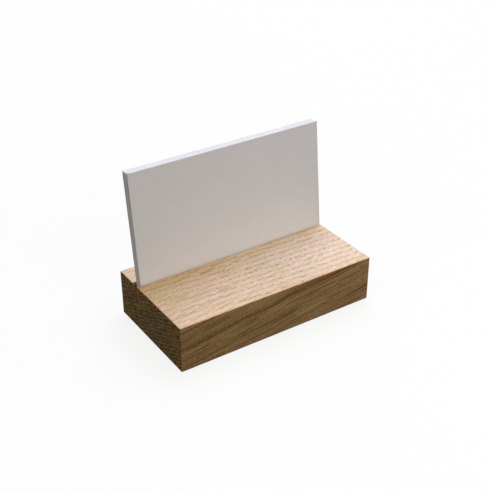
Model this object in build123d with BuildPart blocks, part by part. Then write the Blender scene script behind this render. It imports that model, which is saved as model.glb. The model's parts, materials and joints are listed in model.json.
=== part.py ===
"""Desk stand for business cards: an oak block with a leaning slot, and the cards that stand in it.

Frame: +Z up, +X along the slot, +Y to the back. The origin is the middle of the block's underside.
"""

import os
from math import cos, radians, sin, tan

from build123d import *

# Cards, in millimetres and degrees: a standard 85 by 55 card, stacked front to back
card_width = 85.0
card_height = 55.0
card_thickness = 0.37
card_count = 9

# How the stack stands: the front card leans further back than the slot, and each card behind it
# by one more step; the stack stands off the block's middle, its cards drift a little sideways, and
# the second has slipped out to the right
front_card_lean = 0.7
fan_step = 0.08
stack_shift = 0.42
card_drift = 0.15
drift_turn = 137.5
slipped_card = "card_2"
card_slip = 0.7

# Clearances: between neighbouring feet, at the slot's front wall, at its rear edge, over its floor
card_gap = 0.0125
wall_gap = 0.08
rest_gap = 0.07
seat_gap = 0.02

# Slot, sawn along the whole length and leaning back; its depth is measured down its front wall
slot_lean = 5.0
slot_depth = 9.3

# Wood left round the slot: the top in front of it and behind it, the floor under it, and the
# length that the block has over the cards at each end
front_land = 32.45
rear_land = 10.25
floor_thickness = 10.25
end_margin = 1.25
arris_radius = 0.45

# How far a cut runs on past the face it opens
overrun = 2.0

# The slot takes the stack at its feet, and the rear card where it rests on the slot's rear edge
rear_card_lean = front_card_lean + (card_count - 1) * fan_step
stack_thickness = card_count * card_thickness + (card_count - 1) * card_gap
rear_card_reach = slot_depth * tan(radians(rear_card_lean))
slot_width = wall_gap + stack_thickness + rear_card_reach + rest_gap
mouth_width = slot_width / cos(radians(slot_lean))
rear_wall_height = slot_depth + slot_width * tan(radians(slot_lean))

# The block's overall size
block_length = card_width + 2 * end_margin
block_depth = front_land + mouth_width + rear_land
block_height = floor_thickness + slot_depth * cos(radians(slot_lean))

# The slot's own directions in the YZ plane: up its wall, and across it towards the back
slot_rise = Vector(0, sin(radians(slot_lean)), cos(radians(slot_lean)))
slot_across = Vector(0, cos(radians(slot_lean)), -sin(radians(slot_lean)))
mouth_front = Vector(0, front_land - block_depth / 2, block_height)
slot_foot = mouth_front - slot_rise * slot_depth

os.makedirs("parts", exist_ok=True)

# The block: slotted from end to end, then sanded, which eases every edge but the slot's two lower
# corners
with BuildPart() as block:
    with BuildSketch():
        Rectangle(block_length, block_depth)
    extrude(amount=block_height)
    with BuildSketch(Plane.YZ):
        with Locations((slot_foot.Y, slot_foot.Z)):
            Rectangle(
                slot_width,
                rear_wall_height + overrun,
                rotation=-slot_lean,
                align=(Align.MIN, Align.MIN),
            )
    extrude(amount=block_length / 2 + overrun, both=True, mode=Mode.SUBTRACT)
    slot_corners = block.edges().filter_by(Axis.X).group_by(Axis.Z)[1:-1]
    left_sharp = [edge for level in slot_corners for edge in level]
    fillet(block.edges() - ShapeList(left_sharp), radius=arris_radius)
block.part.label = "oak_block"
export_step(block.part, "parts/oak_block.step")

# The cards: each stands on its rear lower edge and leans in its own plane
card_names = ["front_card"]
card_names += [f"card_{number}" for number in range(2, card_count)]
card_names += ["rear_card"]
for place, card_name in enumerate(card_names):
    lean = radians(slot_lean + front_card_lean + place * fan_step)
    foot_setback = wall_gap + (place + 1) * card_thickness + place * card_gap
    rear_foot = slot_foot + slot_across * foot_setback + slot_rise * seat_gap
    sideways = stack_shift + card_drift * sin(radians(place * drift_turn))
    if card_name == slipped_card:
        sideways += card_slip
    rear_face = Plane(
        origin=rear_foot + Vector(sideways, 0, 0),
        x_dir=(1, 0, 0),
        z_dir=(0, -cos(lean), sin(lean)),
    )
    with BuildPart() as card:
        with BuildSketch(rear_face):
            Rectangle(card_width, card_height, align=(Align.CENTER, Align.MIN))
        extrude(amount=card_thickness)
    card.part.label = card_name
    export_step(card.part, f"parts/{card_name}.step")
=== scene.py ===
import json
import math
from types import SimpleNamespace

import bpy
from mathutils import Matrix, Vector


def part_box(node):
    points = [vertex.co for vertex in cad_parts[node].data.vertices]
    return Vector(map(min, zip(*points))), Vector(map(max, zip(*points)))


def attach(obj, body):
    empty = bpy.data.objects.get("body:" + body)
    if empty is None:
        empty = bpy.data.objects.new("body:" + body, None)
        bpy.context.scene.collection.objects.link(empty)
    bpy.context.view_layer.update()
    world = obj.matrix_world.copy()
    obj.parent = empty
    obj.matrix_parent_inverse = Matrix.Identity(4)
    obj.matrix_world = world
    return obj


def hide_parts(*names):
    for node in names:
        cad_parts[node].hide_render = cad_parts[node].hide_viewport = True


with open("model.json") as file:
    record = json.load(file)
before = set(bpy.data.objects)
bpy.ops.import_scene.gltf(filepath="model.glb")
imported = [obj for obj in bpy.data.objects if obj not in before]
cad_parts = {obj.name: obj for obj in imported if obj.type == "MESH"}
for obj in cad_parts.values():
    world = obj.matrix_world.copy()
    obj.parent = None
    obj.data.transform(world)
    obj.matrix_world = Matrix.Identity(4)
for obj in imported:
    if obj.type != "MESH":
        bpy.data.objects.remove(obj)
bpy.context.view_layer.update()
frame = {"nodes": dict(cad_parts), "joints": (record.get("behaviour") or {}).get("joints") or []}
scene = bpy.context.scene
scene.view_settings.view_transform = "Standard"
mm = 0.001
xAxis, yAxis, zAxis = (1, 0, 0), (0, 1, 0), (0, 0, 1)
white = (1.0, 1.0, 1.0, 1.0)
print("frame loaded,", len(frame["nodes"]), "solids")


def shade(red, green, blue):                       # a colour as a picture editor shows it, 0 to 255
    def linear(level):
        level = level / 255
        return level / 12.92 if level <= 0.04045 else ((level + 0.055) / 1.055) ** 2.4
    return (linear(red), linear(green), linear(blue), 1.0)


class Wire:                                        # one socket, so that node maths reads as sums
    rowShift = 7                                   # how many cells one row may be shifted by

    def __init__(self, tree, socket=None):
        self.tree = tree
        self.socket = socket

    def node(self, kind, settings=None, values=None, out=0):
        made = self.tree.nodes.new(kind)
        for name, value in (settings or {}).items():
            if name == "stops":                    # a ramp's stops: place and level
                ramp = made.color_ramp
                while len(ramp.elements) < len(value):
                    ramp.elements.new(1.0)
                for element, (place, level) in zip(ramp.elements, value):
                    element.position = place
                    element.color = level if isinstance(level, tuple) else (level, level, level, 1.0)
            else:
                setattr(made, name, value)
        for name, value in (values or {}).items():
            if isinstance(value, Wire):
                self.tree.links.new(value.socket, made.inputs[name])
            else:
                made.inputs[name].default_value = value
        return Wire(self.tree, made.outputs[out] if made.outputs else None)

    def also(self, out):                           # another output of the same node
        return Wire(self.tree, self.socket.node.outputs[out])

    def math(self, operation, *terms):
        return self.node("ShaderNodeMath", {"operation": operation}, dict(enumerate(terms)))

    def __add__(self, other):
        return self.math("ADD", self, other)

    def __radd__(self, other):
        return self.math("ADD", other, self)

    def __sub__(self, other):
        return self.math("SUBTRACT", self, other)

    def __rsub__(self, other):
        return self.math("SUBTRACT", other, self)

    def __mul__(self, other):
        return self.math("MULTIPLY", self, other)

    def __rmul__(self, other):
        return self.math("MULTIPLY", other, self)

    def __truediv__(self, other):
        return self.math("DIVIDE", self, other)

    def __rtruediv__(self, other):
        return self.math("DIVIDE", other, self)

    def __abs__(self):
        return self.math("ABSOLUTE", self)

    def fraction(self):
        return self.math("FRACT", self)

    def larger(self, other):
        return self.math("MAXIMUM", self, other)

    def step(self, start, end, low=0.0, high=1.0):  # a soft step from low to high
        values = {"Value": self, "From Min": start, "From Max": end, "To Min": low, "To Max": high}
        return self.node("ShaderNodeMapRange", {"interpolation_type": "SMOOTHSTEP"}, values)

    def ramp(self, stops):
        return self.node("ShaderNodeValToRGB", {"stops": stops}, {"Fac": self})

    def vector(self, x, y, z):
        return self.node("ShaderNodeCombineXYZ", None, {"X": x, "Y": y, "Z": z})

    def along(self, direction):                    # how far a point lies along a direction
        return self.node("ShaderNodeVectorMath", {"operation": "DOT_PRODUCT"},
                         {0: self, 1: direction}, "Value")

    def times(self, other):                        # colour by colour
        return self.node("ShaderNodeVectorMath", {"operation": "MULTIPLY"}, {0: self, 1: other})

    def scaled(self, factor):
        return self.node("ShaderNodeVectorMath", {"operation": "SCALE"}, {0: self, "Scale": factor})

    def noise(self, octaves=2.0, roughness=0.5):
        return self.node("ShaderNodeTexNoise", {"noise_dimensions": "3D"},
                         {"Vector": self, "Scale": 1.0, "Detail": octaves, "Roughness": roughness})

    def cells(self, scatter=1.0):                  # distance to the nearest of scattered points
        return self.node("ShaderNodeTexVoronoi", {"voronoi_dimensions": "2D", "feature": "F1"},
                         {"Vector": self, "Scale": 1.0, "Randomness": scatter}, "Distance")

    def luck(self, channel=xAxis):                 # a random number for each of the cells
        return self.also("Color").along(channel)

    def jog(self):                                 # a random number for each whole step
        return self.node("ShaderNodeTexWhiteNoise", {"noise_dimensions": "1D"},
                         {"W": self.math("FLOOR", self)}, "Value")

    def strung(self, row, scatter):                # cells along rows, each row shifted by chance
        return self.vector(self + row.jog() * self.rowShift, row, 0.0).cells(scatter)

    def mix(self, first, second):                  # this socket is the factor
        return self.node("ShaderNodeMix", {"data_type": "RGBA"}, {0: self, 6: first, 7: second}, 2)


def newMaterial(name):
    material = bpy.data.materials.new(name)
    material.use_nodes = True
    material.node_tree.nodes.clear()
    return material, Wire(material.node_tree)


def closeMaterial(start, shader):
    start.node("ShaderNodeOutputMaterial", None, {"Surface": shader})


# Oak: a log's own directions are along the fibres, out from the heart, and round the rings.
# The top's tones are paler than the sides', partly sanding and partly painted light; the end's tones are
# darker, partly end grain that soaks up oil and partly painted shade.
# Lengths and places are in millimetres. A pair of numbers is where a soft step starts and ends,
# and two more are its levels there.
oakDetails = {
    "log": {
        "fibre": Vector((1.0, 0.012, 0.13)),
        "heart": Vector((0.058, 1.0, -0.445)),
        "ringWidth": 2.83,
        "ringWander": 1.6,
        "seasons": [(0.0, 0.0), (0.12, 1.0), (0.38, 0.7), (0.62, 0.1), (1.0, 0.0)],  # in each ring
        "bandShare": 0.8,
        "wander": (38, 9, 1.0),                    # noises: length, width, octaves and roughness
        "slide": (90, 2, 0.0),
        "slideReach": 90,                          # so that no two fibres end together
        "fine": (24, 0.28, 2.0, 0.6),
        "paleStep": (0.5, 0.62),
        "darkStep": (0.5, 0.38),
        "broad": (90, 4.5, 2.0),
        "broadStep": (0.5, 0.7),
        "lines": (26, 0.36, 0.0),
        "lineStep": (0.6, 0.68),
        "patch": (11, 5, 2.0),
        "patchStep": (0.35, 0.65),
    },
    "faces": {
        "endTurn": (0.5, 0.95),                    # how squarely a face is turned to a direction
        "topTurn": (0.6, 0.95),
        "topLevel": (17.5, 18.5),
        "coolPatch": (0.98, 1.01, 1.01, 1.0),      # slow drifts of hue, as multipliers
        "warmPatch": (1.03, 0.98, 0.95, 1.0),
        "edge": shade(196, 128, 68),               # an orange-brown line along the upper edges, fainter low down, none at the slot
        "edgeTurn": (0.98, 0.8),
        "edgeUp": (0.1, 0.4),
        "edgeLevel": (9, 18, 0.3, 1.0),
        "edgePatch": (0.35, 0.65, 0.35, 0.9),
        "slotMiddle": 11.1,
        "slotHalf": (2.2, 3.2),
    },
    "side": {
        "plain": shade(172, 138, 90), "band": shade(159, 123, 75), "pale": shade(193, 165, 128),
        "dark": shade(116, 80, 28), "line": shade(64, 38, 0), "mark": shade(98, 64, 20),
        "lineShare": 0.72, "broadShare": 0.18, "fineShare": 0.45,
        "fleckLength": 1.9,                        # pores strung along the fibres, some of them rusty
        "fleckSpacing": 0.55,
        "fleckWander": 3,
        "fleckScatter": 0.7,
        "fleckStep": (0.36, 0.12),
        "fleckLuck": (0.25, 0.7),
        "fleckShare": 0.6,
        "rust": shade(140, 84, 40),
        "rustStep": (0.45, 0.15),
        "rustLuck": (0.22, 0.08),
        "rustShare": 0.8,
        "streakPoint": Vector((0.0, -23.3, 15.7)),  # on one dark streak, which is darker at the pores
        "streakWander": 2.5,
        "streakStep": (1.2, 0.2),
        "streakShare": 0.36,
        "streakPoreStep": (0.5, 0.2),
        "streakPoreShare": 0.32,
        "paintedSlotLight": (1.25, 1.12, 0.98),            # painted light on the slot's walls, inside the front and the back
        "wallReach": (21, 19),
        "wallTurn": (0.5, 0.9),
    },
    # painted shade in part: the end's tones are darker than the sides', partly end grain soaking up oil
    "end": {
        "plain": shade(100, 74, 20), "band": shade(91, 65, 14), "pale": shade(127, 109, 70),
        "dark": shade(81, 55, 6), "line": shade(146, 129, 91), "mark": shade(24, 8, 0),
        "lineShare": 0.0, "broadShare": 0.5, "fineShare": 0.5,
        "raySpacing": 1.5,                         # pale rays across the rings
        "rayScatter": 1.8,
        "rayRun": 3,
        "rayWidth": 1.2,
        "rayDepth": 9,
        "rayStep": (0.15, 0.45),
        "rayShare": 0.35,
        "poreLength": 0.8,                         # open pores, smaller at the front and in the rays
        "poreWidth": 0.46,
        "poreSize": (0.0, 1.0, 0.2, 0.85),
        "poreSeason": (0.1, 0.7, 0.45, 1.0),
        "poreFront": (-25, -12, 0.7, 1.0),
        "poreRayLoss": 0.7,
        "poreStep": (0.1, -0.1),
        "poreFade": (-40, 40, 1.0, 0.55),          # softer at the right end
    },
    # painted light in part: the top's tones are paler than the sides', partly sanding
    "top": {
        "plain": shade(220, 194, 162), "band": shade(207, 172, 128), "pale": shade(231, 210, 188),
        "dark": shade(205, 168, 124), "line": shade(172, 122, 74),
        "lineShare": 0.1, "broadShare": 0.15, "fineShare": 0.6,
        "spotLength": 2.3,                         # vessels cut at a slant, in rows
        "spotRows": 6,                             # in each ring
        "spotScatter": 0.8,
        "spotSize": (0.0, 1.0, 0.1, 0.5),
        "spotStep": (1.0, 0.3),
        "spotSeason": (0.2, 0.7, 0.2, 1.0),
        "spotFade": (-40, 5, 0.55, 0.95),
        "spotTones": [(0.0, shade(142, 112, 8)), (0.5, shade(162, 97, 28)), (1.0, shade(188, 84, 50))],
        "dashLength": 14.0,                        # thin dashes across the rows
        "dashSpacing": 0.55,
        "dashSlant": math.radians(11),
        "dashScatter": 0.8,
        "dashStep": (0.4, 0.18),
        "dashLuck": (0.45, 0.75),
        "dashFade": (15, -25, 0.4, 0.9),
        "tan": (0.88, 0.85, 0.74, 1.0),            # multipliers: painted shade where the cards shade the top, painted light where it is open
        "paintedLightTint": (1.0, 1.075, 1.25, 1.0),
        "paintedLightSlant": 0.45,
        "paintedLightStep": (-30, 6),
        "paintedLightFront": (-24, -12, 0.7, 1.0),
        "paintedLightRear": (11, 14, 0.0, 0.65),
        "paintedRightSheen": (1.03, 1.05, 1.11, 1.0),         # painted sheen, more so to the right
        "rightSheenSlant": 0.5,
        "rightSheenStep": (-10, 24),
        "rightSheenEnd": (42, 28),
        "shaded": (1.0, 0.965, 0.85, 1.0),         # painted shade in a strip in front of the slot, where the cards shade the top
        "stripMiddle": 7,
        "stripHalf": (5, 2),
        "yellowPatch": (0.993, 1.007, 0.965, 1.0),  # slow drifts of hue
        "pinkPatch": (1.015, 0.997, 1.03, 1.0),
    },
    "finish": {
        "gloss": 0.1,
        "roughness": 0.5,
        "fibreRough": 0.12,
        "hollowRough": 0.25,
        "endRough": 0.2,
        "polish": 0.9,                             # on the top
        "polishRough": 0.45,
        "hollowDull": 0.6,
        "fibreRise": 0.25,                         # shares of the relief's depth
        "lineFall": 0.4,
        "spotFall": 0.4,
        "relief": 0.3,
        "reliefDepth": 0.1 * mm,
    },
}


def oakLog(start, details):                        # where a point lies in the log, and its grain there
    fibre = details["fibre"].normalized()
    aroundRings = fibre.cross(details["heart"]).normalized()
    heart = aroundRings.cross(fibre)
    place = start.node("ShaderNodeTexCoord", None, None, "Object")
    point = place.scaled(1 / mm)
    log = SimpleNamespace(facing=place.also("Normal"), aroundRings=aroundRings)
    log.turned = [abs(log.facing.along(axis)) for axis in (xAxis, yAxis, zAxis)]
    log.x, log.y, log.z = (point.along(axis) for axis in (xAxis, yAxis, zAxis))
    log.along = point.along(fibre)
    log.out = point.along(heart)
    log.about = point.along(aroundRings)

    def drawn(run, length, width, octaves, roughness=0.5):  # noise drawn out along the fibres
        return start.vector(run / length, log.out / width, log.about / width).noise(octaves, roughness)

    log.wander = drawn(log.along, *details["wander"]) - 0.5
    log.ring = (log.out + log.wander * details["ringWander"]) / details["ringWidth"]
    log.season = log.ring.fraction().ramp(details["seasons"])
    log.bands = log.season * details["bandShare"]
    slide = log.along + drawn(log.along, *details["slide"]) * details["slideReach"]
    log.fine = drawn(slide, *details["fine"])
    log.paleFibres = log.fine.step(*details["paleStep"])
    log.darkFibres = log.fine.step(*details["darkStep"])
    log.broad = drawn(slide, *details["broad"]).step(*details["broadStep"])
    log.lines = drawn(slide, *details["lines"]).step(*details["lineStep"])
    log.patch = drawn(log.along, *details["patch"])
    log.drift = log.patch.step(*details["patchStep"])
    return log


def oakGrain(log, details, marks, mark):           # one face's colour, in its own tones
    colour = log.bands.mix(details["plain"], details["band"])
    colour = (log.broad * details["broadShare"]).mix(colour, details["dark"])
    colour = (log.paleFibres * details["fineShare"]).mix(colour, details["pale"])
    colour = (log.darkFibres * details["fineShare"]).mix(colour, details["dark"])
    colour = (log.lines * details["lineShare"]).mix(colour, details["line"])
    return marks.mix(colour, mark)


def oakSide(log, details):                         # pores along the fibres, and one dark streak
    row = log.about / details["fleckSpacing"] + log.wander * details["fleckWander"]
    flecks = (log.along / details["fleckLength"]).strung(row, details["fleckScatter"])
    fleckMask = flecks.step(*details["fleckStep"]) * flecks.luck().step(*details["fleckLuck"])
    rustMask = flecks.step(*details["rustStep"]) * flecks.luck().step(*details["rustLuck"])
    streakPlace = details["streakPoint"].dot(log.aroundRings)
    streakAway = abs(log.about - streakPlace + log.wander * details["streakWander"])
    streakPores = flecks.step(*details["streakPoreStep"]) * details["streakPoreShare"]
    streak = streakAway.step(*details["streakStep"]) * (details["streakShare"] + streakPores)
    colour = oakGrain(log, details, streak, details["mark"])
    colour = (fleckMask * details["fleckShare"]).mix(colour, details["line"])
    colour = (rustMask * details["rustShare"]).mix(colour, details["rust"])
    # painted light: the slot's walls are lighter and warmer
    slotWall = abs(log.y).step(*details["wallReach"]) * log.turned[1].step(*details["wallTurn"])
    return slotWall.mix(colour, colour.times(details["paintedSlotLight"]))


def oakEnd(start, log, details):                   # open pores in each ring's early wood, crossed by rays
    sway = start.vector(log.out / details["rayRun"], log.about / details["rayWidth"],
                        log.along / details["rayDepth"]).noise(1.0) - 0.5
    rayPlace = (log.about / details["raySpacing"] + sway * details["rayScatter"]).fraction()
    rays = abs(rayPlace - 0.5).step(*details["rayStep"])
    pores = start.vector(log.out / details["poreLength"], log.about / details["poreWidth"], 0.0).cells()
    crowd = log.season.step(*details["poreSeason"]) * (1 - rays * details["poreRayLoss"])
    crowd = crowd * log.y.step(*details["poreFront"])
    poreSize = crowd * pores.luck().step(*details["poreSize"])
    poreMask = (pores - poreSize).step(*details["poreStep"]) * log.x.step(*details["poreFade"])
    colour = oakGrain(log, details, poreMask, details["mark"])
    return (rays * details["rayShare"]).mix(colour, details["line"]), poreMask


def oakTop(log, details):                          # short strokes in rows, thin dashes, painted light and shade
    row = log.ring * details["spotRows"]
    spots = (log.along / details["spotLength"]).strung(row, details["spotScatter"])
    spotSize = spots.luck().step(*details["spotSize"])
    spotMask = (spots / spotSize).step(*details["spotStep"]) * log.season.step(*details["spotSeason"])
    spotTone = spots.luck(yAxis).ramp(details["spotTones"])
    slant = details["dashSlant"]
    dashRun = (log.x * math.cos(slant) + log.y * math.sin(slant)) / details["dashLength"]
    dashRow = (log.y * math.cos(slant) - log.x * math.sin(slant)) / details["dashSpacing"]
    dashes = dashRun.strung(dashRow, details["dashScatter"])
    dashMask = dashes.step(*details["dashStep"]) * dashes.luck().step(*details["dashLuck"])
    colour = oakGrain(log, details, spotMask * log.x.step(*details["spotFade"]), spotTone)
    colour = (dashMask * log.x.step(*details["dashFade"])).mix(colour, details["line"])

    # painted light and shade: lighter toward the front, the right and the rear land, darker near the slot
    paintedLight = (log.x * details["paintedLightSlant"] - log.y).step(*details["paintedLightStep"])
    paintedLight = (paintedLight * log.y.step(*details["paintedLightFront"])).larger(log.y.step(*details["paintedLightRear"]))
    # painted sheen, stronger toward the right
    rightSheen = (log.x + log.y * details["rightSheenSlant"]).step(*details["rightSheenStep"]) * log.x.step(*details["rightSheenEnd"])
    # painted shade in front of the slot
    strip = abs(log.y - details["stripMiddle"]).step(*details["stripHalf"])
    colour = colour.times(paintedLight.mix(details["tan"], details["paintedLightTint"]))
    colour = colour.times(rightSheen.mix(white, details["paintedRightSheen"]))
    colour = colour.times(strip.mix(white, details["shaded"]))
    colour = colour.times(log.drift.mix(details["yellowPatch"], details["pinkPatch"]))
    return colour, spotMask


def oakMaterial(name, details):
    material, start = newMaterial(name)
    log = oakLog(start, details["log"])
    side = oakSide(log, details["side"])
    end, poreMask = oakEnd(start, log, details["end"])
    top, spotMask = oakTop(log, details["top"])

    # which face this is, and where the orange-brown edge line lies
    faces = details["faces"]
    upward = log.facing.along(zAxis)
    endFace = log.turned[0].step(*faces["endTurn"])
    topFace = upward.step(*faces["topTurn"]) * log.z.step(*faces["topLevel"])
    squarest = log.turned[0].larger(log.turned[1].larger(log.turned[2]))
    edge = squarest.step(*faces["edgeTurn"]) * upward.step(*faces["edgeUp"])
    edge = edge * log.z.step(*faces["edgeLevel"]) * log.patch.step(*faces["edgePatch"])
    edge = edge * abs(log.y - faces["slotMiddle"]).step(*faces["slotHalf"])
    colour = endFace.mix(side, end).times(log.drift.mix(faces["coolPatch"], faces["warmPatch"]))
    colour = edge.mix(topFace.mix(colour, top), faces["edge"])

    # pores and lines lie a little low, and are dull
    finish = details["finish"]
    hollow = log.lines * finish["lineFall"] * (1 - endFace) + spotMask * topFace * finish["spotFall"]
    hollow = hollow + poreMask * endFace
    height = log.fine * finish["fibreRise"] - hollow
    bump = start.node("ShaderNodeBump", None, {
        "Strength": finish["relief"], "Distance": finish["reliefDepth"], "Height": height})
    roughness = finish["roughness"] + hollow * finish["hollowRough"] + endFace * finish["endRough"]
    roughness = roughness + (log.fine - 0.5) * finish["fibreRough"]
    polish = topFace * (1 - hollow * finish["hollowDull"]) * finish["polish"]
    shader = start.node("ShaderNodeBsdfPrincipled", None, {
        "Base Color": colour, "Roughness": roughness, "Normal": bump, "Specular IOR Level": finish["gloss"],
        "Coat Weight": polish, "Coat Roughness": finish["polishRough"]})
    closeMaterial(start, shader)
    return material


oak = oakMaterial("oak", oakDetails)
oakBlock = frame["nodes"]["oak_block"]
oakBlock.data.materials.clear()
oakBlock.data.materials.append(oak)
print("oak on the block,", len(oakBlock.data.polygons), "faces")


# Card stock: smooth white board with a little tooth, and cut edges that show its layers.
# Lengths and soft steps are written as for the oak.
stockDetails = {
    "face": shade(242, 240, 239),
    "fleck": shade(235, 233, 232),
    "cut": shade(235, 232, 243),
    "layer": shade(222, 220, 226),
    "tooth": 0.16,
    "toothShare": (0.45, 0.8, 0.0, 0.3),
    "cloud": 5.0,
    "cloudShare": (0.3, 0.7, 0.0, 0.2),
    "layerLength": 6,
    "layerDepth": 0.05,
    "layerShare": (0.45, 0.65, 0.0, 0.4),
    "edgeTurn": (0.8, 0.4),
    "gloss": 0.3,
    "roughness": 0.62,
    "toothRough": 0.12,
    "edgeRough": 0.15,
    "relief": 0.12,
    "reliefDepth": 0.02 * mm,
}


def stockMaterial(name, details, front):
    material, start = newMaterial(name)
    place = start.node("ShaderNodeTexCoord", None, None, "Object")
    facing = place.also("Normal")
    point = place.scaled(1 / mm)
    tooth = point.scaled(1 / details["tooth"]).noise(2.0)
    cloud = point.scaled(1 / details["cloud"]).noise(3.0)
    layers = start.vector(point.along(xAxis) / details["layerLength"],
                          point.along(front) / details["layerDepth"],
                          point.along(zAxis) / details["layerLength"]).noise(1.0)
    edge = abs(facing.along(front)).step(*details["edgeTurn"])
    mottle = cloud.step(*details["cloudShare"]) + tooth.step(*details["toothShare"])
    face = mottle.mix(details["face"], details["fleck"])
    cut = layers.step(*details["layerShare"]).mix(details["cut"], details["layer"])
    height = tooth * (1 - edge) + layers * edge
    bump = start.node("ShaderNodeBump", None, {
        "Strength": details["relief"], "Distance": details["reliefDepth"], "Height": height})
    roughness = details["roughness"] + tooth * details["toothRough"] + edge * details["edgeRough"]
    shader = start.node("ShaderNodeBsdfPrincipled", None, {
        "Base Color": edge.mix(face, cut), "Roughness": roughness, "Normal": bump,
        "Specular IOR Level": details["gloss"]})
    closeMaterial(start, shader)
    return material


# The cards: one tree makes a sheet, bowed a hair across its width, standing at its lean
cardDetails = {
    "bow": 0.03 * mm,
    "ease": 0.045 * mm,
    "easeSteps": 2,
    "easeAngle": math.radians(60),
    "columns": 25,
    "rows": 17,
    "weld": 0.001 * mm,
}


def cardTree(details):
    tree = bpy.data.node_groups.new("cardSheet", "GeometryNodeTree")
    for name in ("Width", "Height", "Thickness", "Bow", "Lean"):
        tree.interface.new_socket(name, in_out="INPUT", socket_type="NodeSocketFloat")
    tree.interface.new_socket("Middle", in_out="INPUT", socket_type="NodeSocketVector")
    tree.interface.new_socket("Stock", in_out="INPUT", socket_type="NodeSocketMaterial")
    tree.interface.new_socket("Sheet", in_out="OUTPUT", socket_type="NodeSocketGeometry")
    start = Wire(tree)
    width = start.node("NodeGroupInput", None, None, "Width")
    thickness = width.also("Thickness")
    flat = start.node("GeometryNodeMeshGrid", None, {
        "Size X": width, "Size Y": width.also("Height"),
        "Vertices X": details["columns"], "Vertices Y": details["rows"]}, "Mesh")
    across = start.node("GeometryNodeInputPosition").along(xAxis) / width * 2
    rise = (1 - across * across) * width.also("Bow") - thickness * 0.5
    bowed = start.node("GeometryNodeSetPosition", None, {
        "Geometry": flat, "Offset": start.vector(0.0, 0.0, rise)})
    upper = start.node("GeometryNodeExtrudeMesh", {"mode": "FACES"}, {
        "Mesh": bowed, "Offset": start.vector(0.0, 0.0, thickness),
        "Offset Scale": 1.0, "Individual": False})
    lower = start.node("GeometryNodeFlipFaces", None, {"Mesh": bowed})
    both = tree.nodes.new("GeometryNodeJoinGeometry")
    for half in (upper, lower):
        tree.links.new(half.socket, both.inputs[0])
    closed = start.node("GeometryNodeMergeByDistance", None, {
        "Geometry": Wire(tree, both.outputs[0]), "Distance": details["weld"]})
    turn = start.vector(math.pi / 2 - width.also("Lean"), 0.0, 0.0)
    stood = start.node("GeometryNodeTransform", None, {
        "Geometry": closed, "Translation": width.also("Middle"), "Rotation": turn})
    real = start.node("GeometryNodeRealizeInstances", None, {"Geometry": stood})
    done = start.node("GeometryNodeSetMaterial", None, {"Geometry": real, "Material": width.also("Stock")})
    start.node("NodeGroupOutput", None, {"Sheet": done})
    return tree


def makeCard(card, lift, tree, stock, details):
    low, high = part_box(card)
    size = high - low
    lean = math.atan2(lift[1], lift[2])
    spread = math.cos(lean) ** 2 - math.sin(lean) ** 2
    inputs = {                                     # the sheet's own size, out of its leaning box
        "Width": size.x,
        "Height": (size.z * math.cos(lean) - size.y * math.sin(lean)) / spread,
        "Thickness": (size.y * math.cos(lean) - size.z * math.sin(lean)) / spread,
        "Bow": details["bow"],
        "Lean": lean,
        "Middle": (low + high) / 2,
        "Stock": stock,
    }
    maker = bpy.data.objects.new(card + "_maker", bpy.data.meshes.new(card + "_maker"))
    scene.collection.objects.link(maker)
    nodes = maker.modifiers.new("sheet", "NODES")
    nodes.node_group = tree
    for socket in tree.interface.items_tree:
        if socket.in_out == "INPUT":
            nodes[socket.identifier] = inputs[socket.name]
    eased = maker.modifiers.new("ease", "BEVEL")
    eased.width = details["ease"]
    eased.segments = details["easeSteps"]
    eased.limit_method = "ANGLE"
    eased.angle_limit = details["easeAngle"]
    mesh = bpy.data.meshes.new_from_object(maker.evaluated_get(bpy.context.evaluated_depsgraph_get()))
    bpy.data.objects.remove(maker)
    mesh.name = card + "_sheet"
    sheet = bpy.data.objects.new(card + "_sheet", mesh)
    scene.collection.objects.link(sheet)
    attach(sheet, card)
    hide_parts(card)
    return sheet


lifts = {joint["child"]: Vector(joint["axis"]).normalized() for joint in frame["joints"]}
middleLift = sum(lifts.values(), Vector()).normalized()
stock = stockMaterial("cardStock", stockDetails, Vector((0, -middleLift.z, middleLift.y)))
sheetTree = cardTree(cardDetails)
sheets = [makeCard(card, lift, sheetTree, stock, cardDetails) for card, lift in lifts.items()]
print("cards made:", len(sheets), "with", len(sheets[0].data.polygons), "faces each")


# Stage: a white floor that keeps the shadow, under a dim sky
stageDetails = {
    "floorSize": 6.0,                              # metres
    "floorWhite": 0.85,                            # share of the floor that is plain white to the camera
    "floorTone": shade(240, 240, 240),
    "bounceTone": shade(109, 108, 106),            # what the floor gives back to the object
    "skyTone": shade(238, 238, 240),
    "skyStrength": 0.04,
}


def seen(start):                                   # true where the background itself is looked at
    path = start.node("ShaderNodeLightPath", None, None, "Is Camera Ray")
    return path.larger(path.also("Is Glossy Ray").larger(path.also("Is Transmission Ray")))


def makeFloor(details):
    half = details["floorSize"] / 2
    corners = [(-half, -half, 0), (half, -half, 0), (half, half, 0), (-half, half, 0)]
    mesh = bpy.data.meshes.new("floor")
    mesh.from_pydata(corners, [], [(0, 1, 2, 3)])
    floor = bpy.data.objects.new("floor", mesh)
    scene.collection.objects.link(floor)
    material, start = newMaterial("floor")
    shadowed = start.node("ShaderNodeBsdfDiffuse", None, {"Color": details["floorTone"]})
    plain = start.node("ShaderNodeEmission", None, {"Color": white, "Strength": 1.0})
    shown = start.node("ShaderNodeMixShader", None, {0: details["floorWhite"], 1: shadowed, 2: plain})
    bounce = start.node("ShaderNodeBsdfDiffuse", None, {"Color": details["bounceTone"]})
    closeMaterial(start, start.node("ShaderNodeMixShader", None, {0: seen(start), 1: bounce, 2: shown}))
    mesh.materials.append(material)


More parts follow.
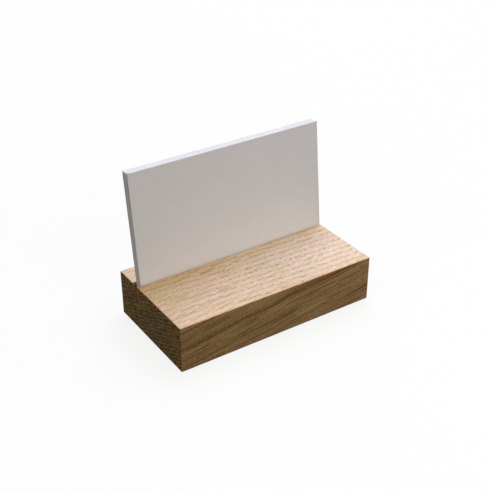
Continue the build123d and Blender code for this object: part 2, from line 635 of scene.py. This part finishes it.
def makeSky(details):
    world = bpy.data.worlds.new("sky")
    scene.world = world
    world.use_nodes = True
    world.node_tree.nodes.clear()
    start = Wire(world.node_tree)
    dim = start.node("ShaderNodeBackground", None, {
        "Color": details["skyTone"], "Strength": details["skyStrength"]})
    plain = start.node("ShaderNodeBackground", None, {"Color": white, "Strength": 1.0})
    both = start.node("ShaderNodeMixShader", None, {0: seen(start), 1: dim, 2: plain})
    start.node("ShaderNodeOutputWorld", None, {"Surface": both})


# Lamps: two light the top and the cards' upper edges, from the right and from behind, and two
# weaker ones fill the front and the left end. Places and sizes are in metres, power in watts.
lightAim = Vector((0.0, 0.0, 0.02))
lightDetails = {
    "behindRight": {
        "at": (0.30, 0.45, 0.95), "width": 0.8, "length": 0.8,
        "power": 8.6, "tone": (0.92, 0.91, 1.0)},
    "right": {
        "at": (1.50, 0.0, 1.70), "width": 1.6, "length": 1.6,
        "power": 18.4, "tone": (1.0, 1.0, 1.0)},
    "frontFill": {
        "at": (0.14, -0.46, 0.30), "width": 0.4, "length": 0.3,
        "power": 1.1, "tone": (1.0, 0.98, 0.98)},
    "leftFill": {
        "at": (-0.85, -0.10, 0.70), "width": 0.8, "length": 0.8,
        "power": 3.2, "tone": (1.0, 0.95, 0.76)},
}


def makeLight(name, details):
    lamp = bpy.data.lights.new(name, "AREA")
    lamp.shape = "RECTANGLE"
    lamp.size = details["width"]
    lamp.size_y = details["length"]
    lamp.energy = details["power"]
    lamp.color = details["tone"]
    light = bpy.data.objects.new(name, lamp)
    light.location = details["at"]
    light.rotation_euler = (lightAim - light.location).to_track_quat("-Z", "Y").to_euler()
    scene.collection.objects.link(light)


makeFloor(stageDetails)
makeSky(stageDetails)
for lightName, lightValues in lightDetails.items():
    makeLight(lightName, lightValues)
print("stage and lights set")


# Camera, as the photograph was taken
cameraDetails = {
    "target": (-0.621 * mm, 0.0, 28.489 * mm),
    "azimuth": math.radians(-33.399),
    "elevation": math.radians(30.856),
    "roll": math.radians(-0.203),
    "distance": 363.03 * mm,
    "focalPixels": 932.894,
    "imagePixels": 490,
    "sensor": 36.0,
    "clipStart": 0.01,
    "clipEnd": 20,
}


def makeCamera(details):
    azimuth, elevation, roll = details["azimuth"], details["elevation"], details["roll"]
    back = Vector((math.sin(azimuth) * math.cos(elevation), -math.cos(azimuth) * math.cos(elevation),
                   math.sin(elevation)))
    level = Vector((math.cos(azimuth), math.sin(azimuth), 0))
    upright = back.cross(level)
    right = level * math.cos(roll) + upright * math.sin(roll)
    lens = bpy.data.cameras.new("camera")
    lens.sensor_fit = "HORIZONTAL"
    lens.sensor_width = details["sensor"]
    lens.lens = details["sensor"] * details["focalPixels"] / details["imagePixels"]
    lens.clip_start = details["clipStart"]
    lens.clip_end = details["clipEnd"]
    camera = bpy.data.objects.new("camera", lens)
    turn = Matrix((right, back.cross(right), back)).transposed().to_4x4()
    camera.matrix_world = Matrix.Translation(Vector(details["target"]) + back * details["distance"]) @ turn
    scene.collection.objects.link(camera)
    scene.camera = camera


makeCamera(cameraDetails)
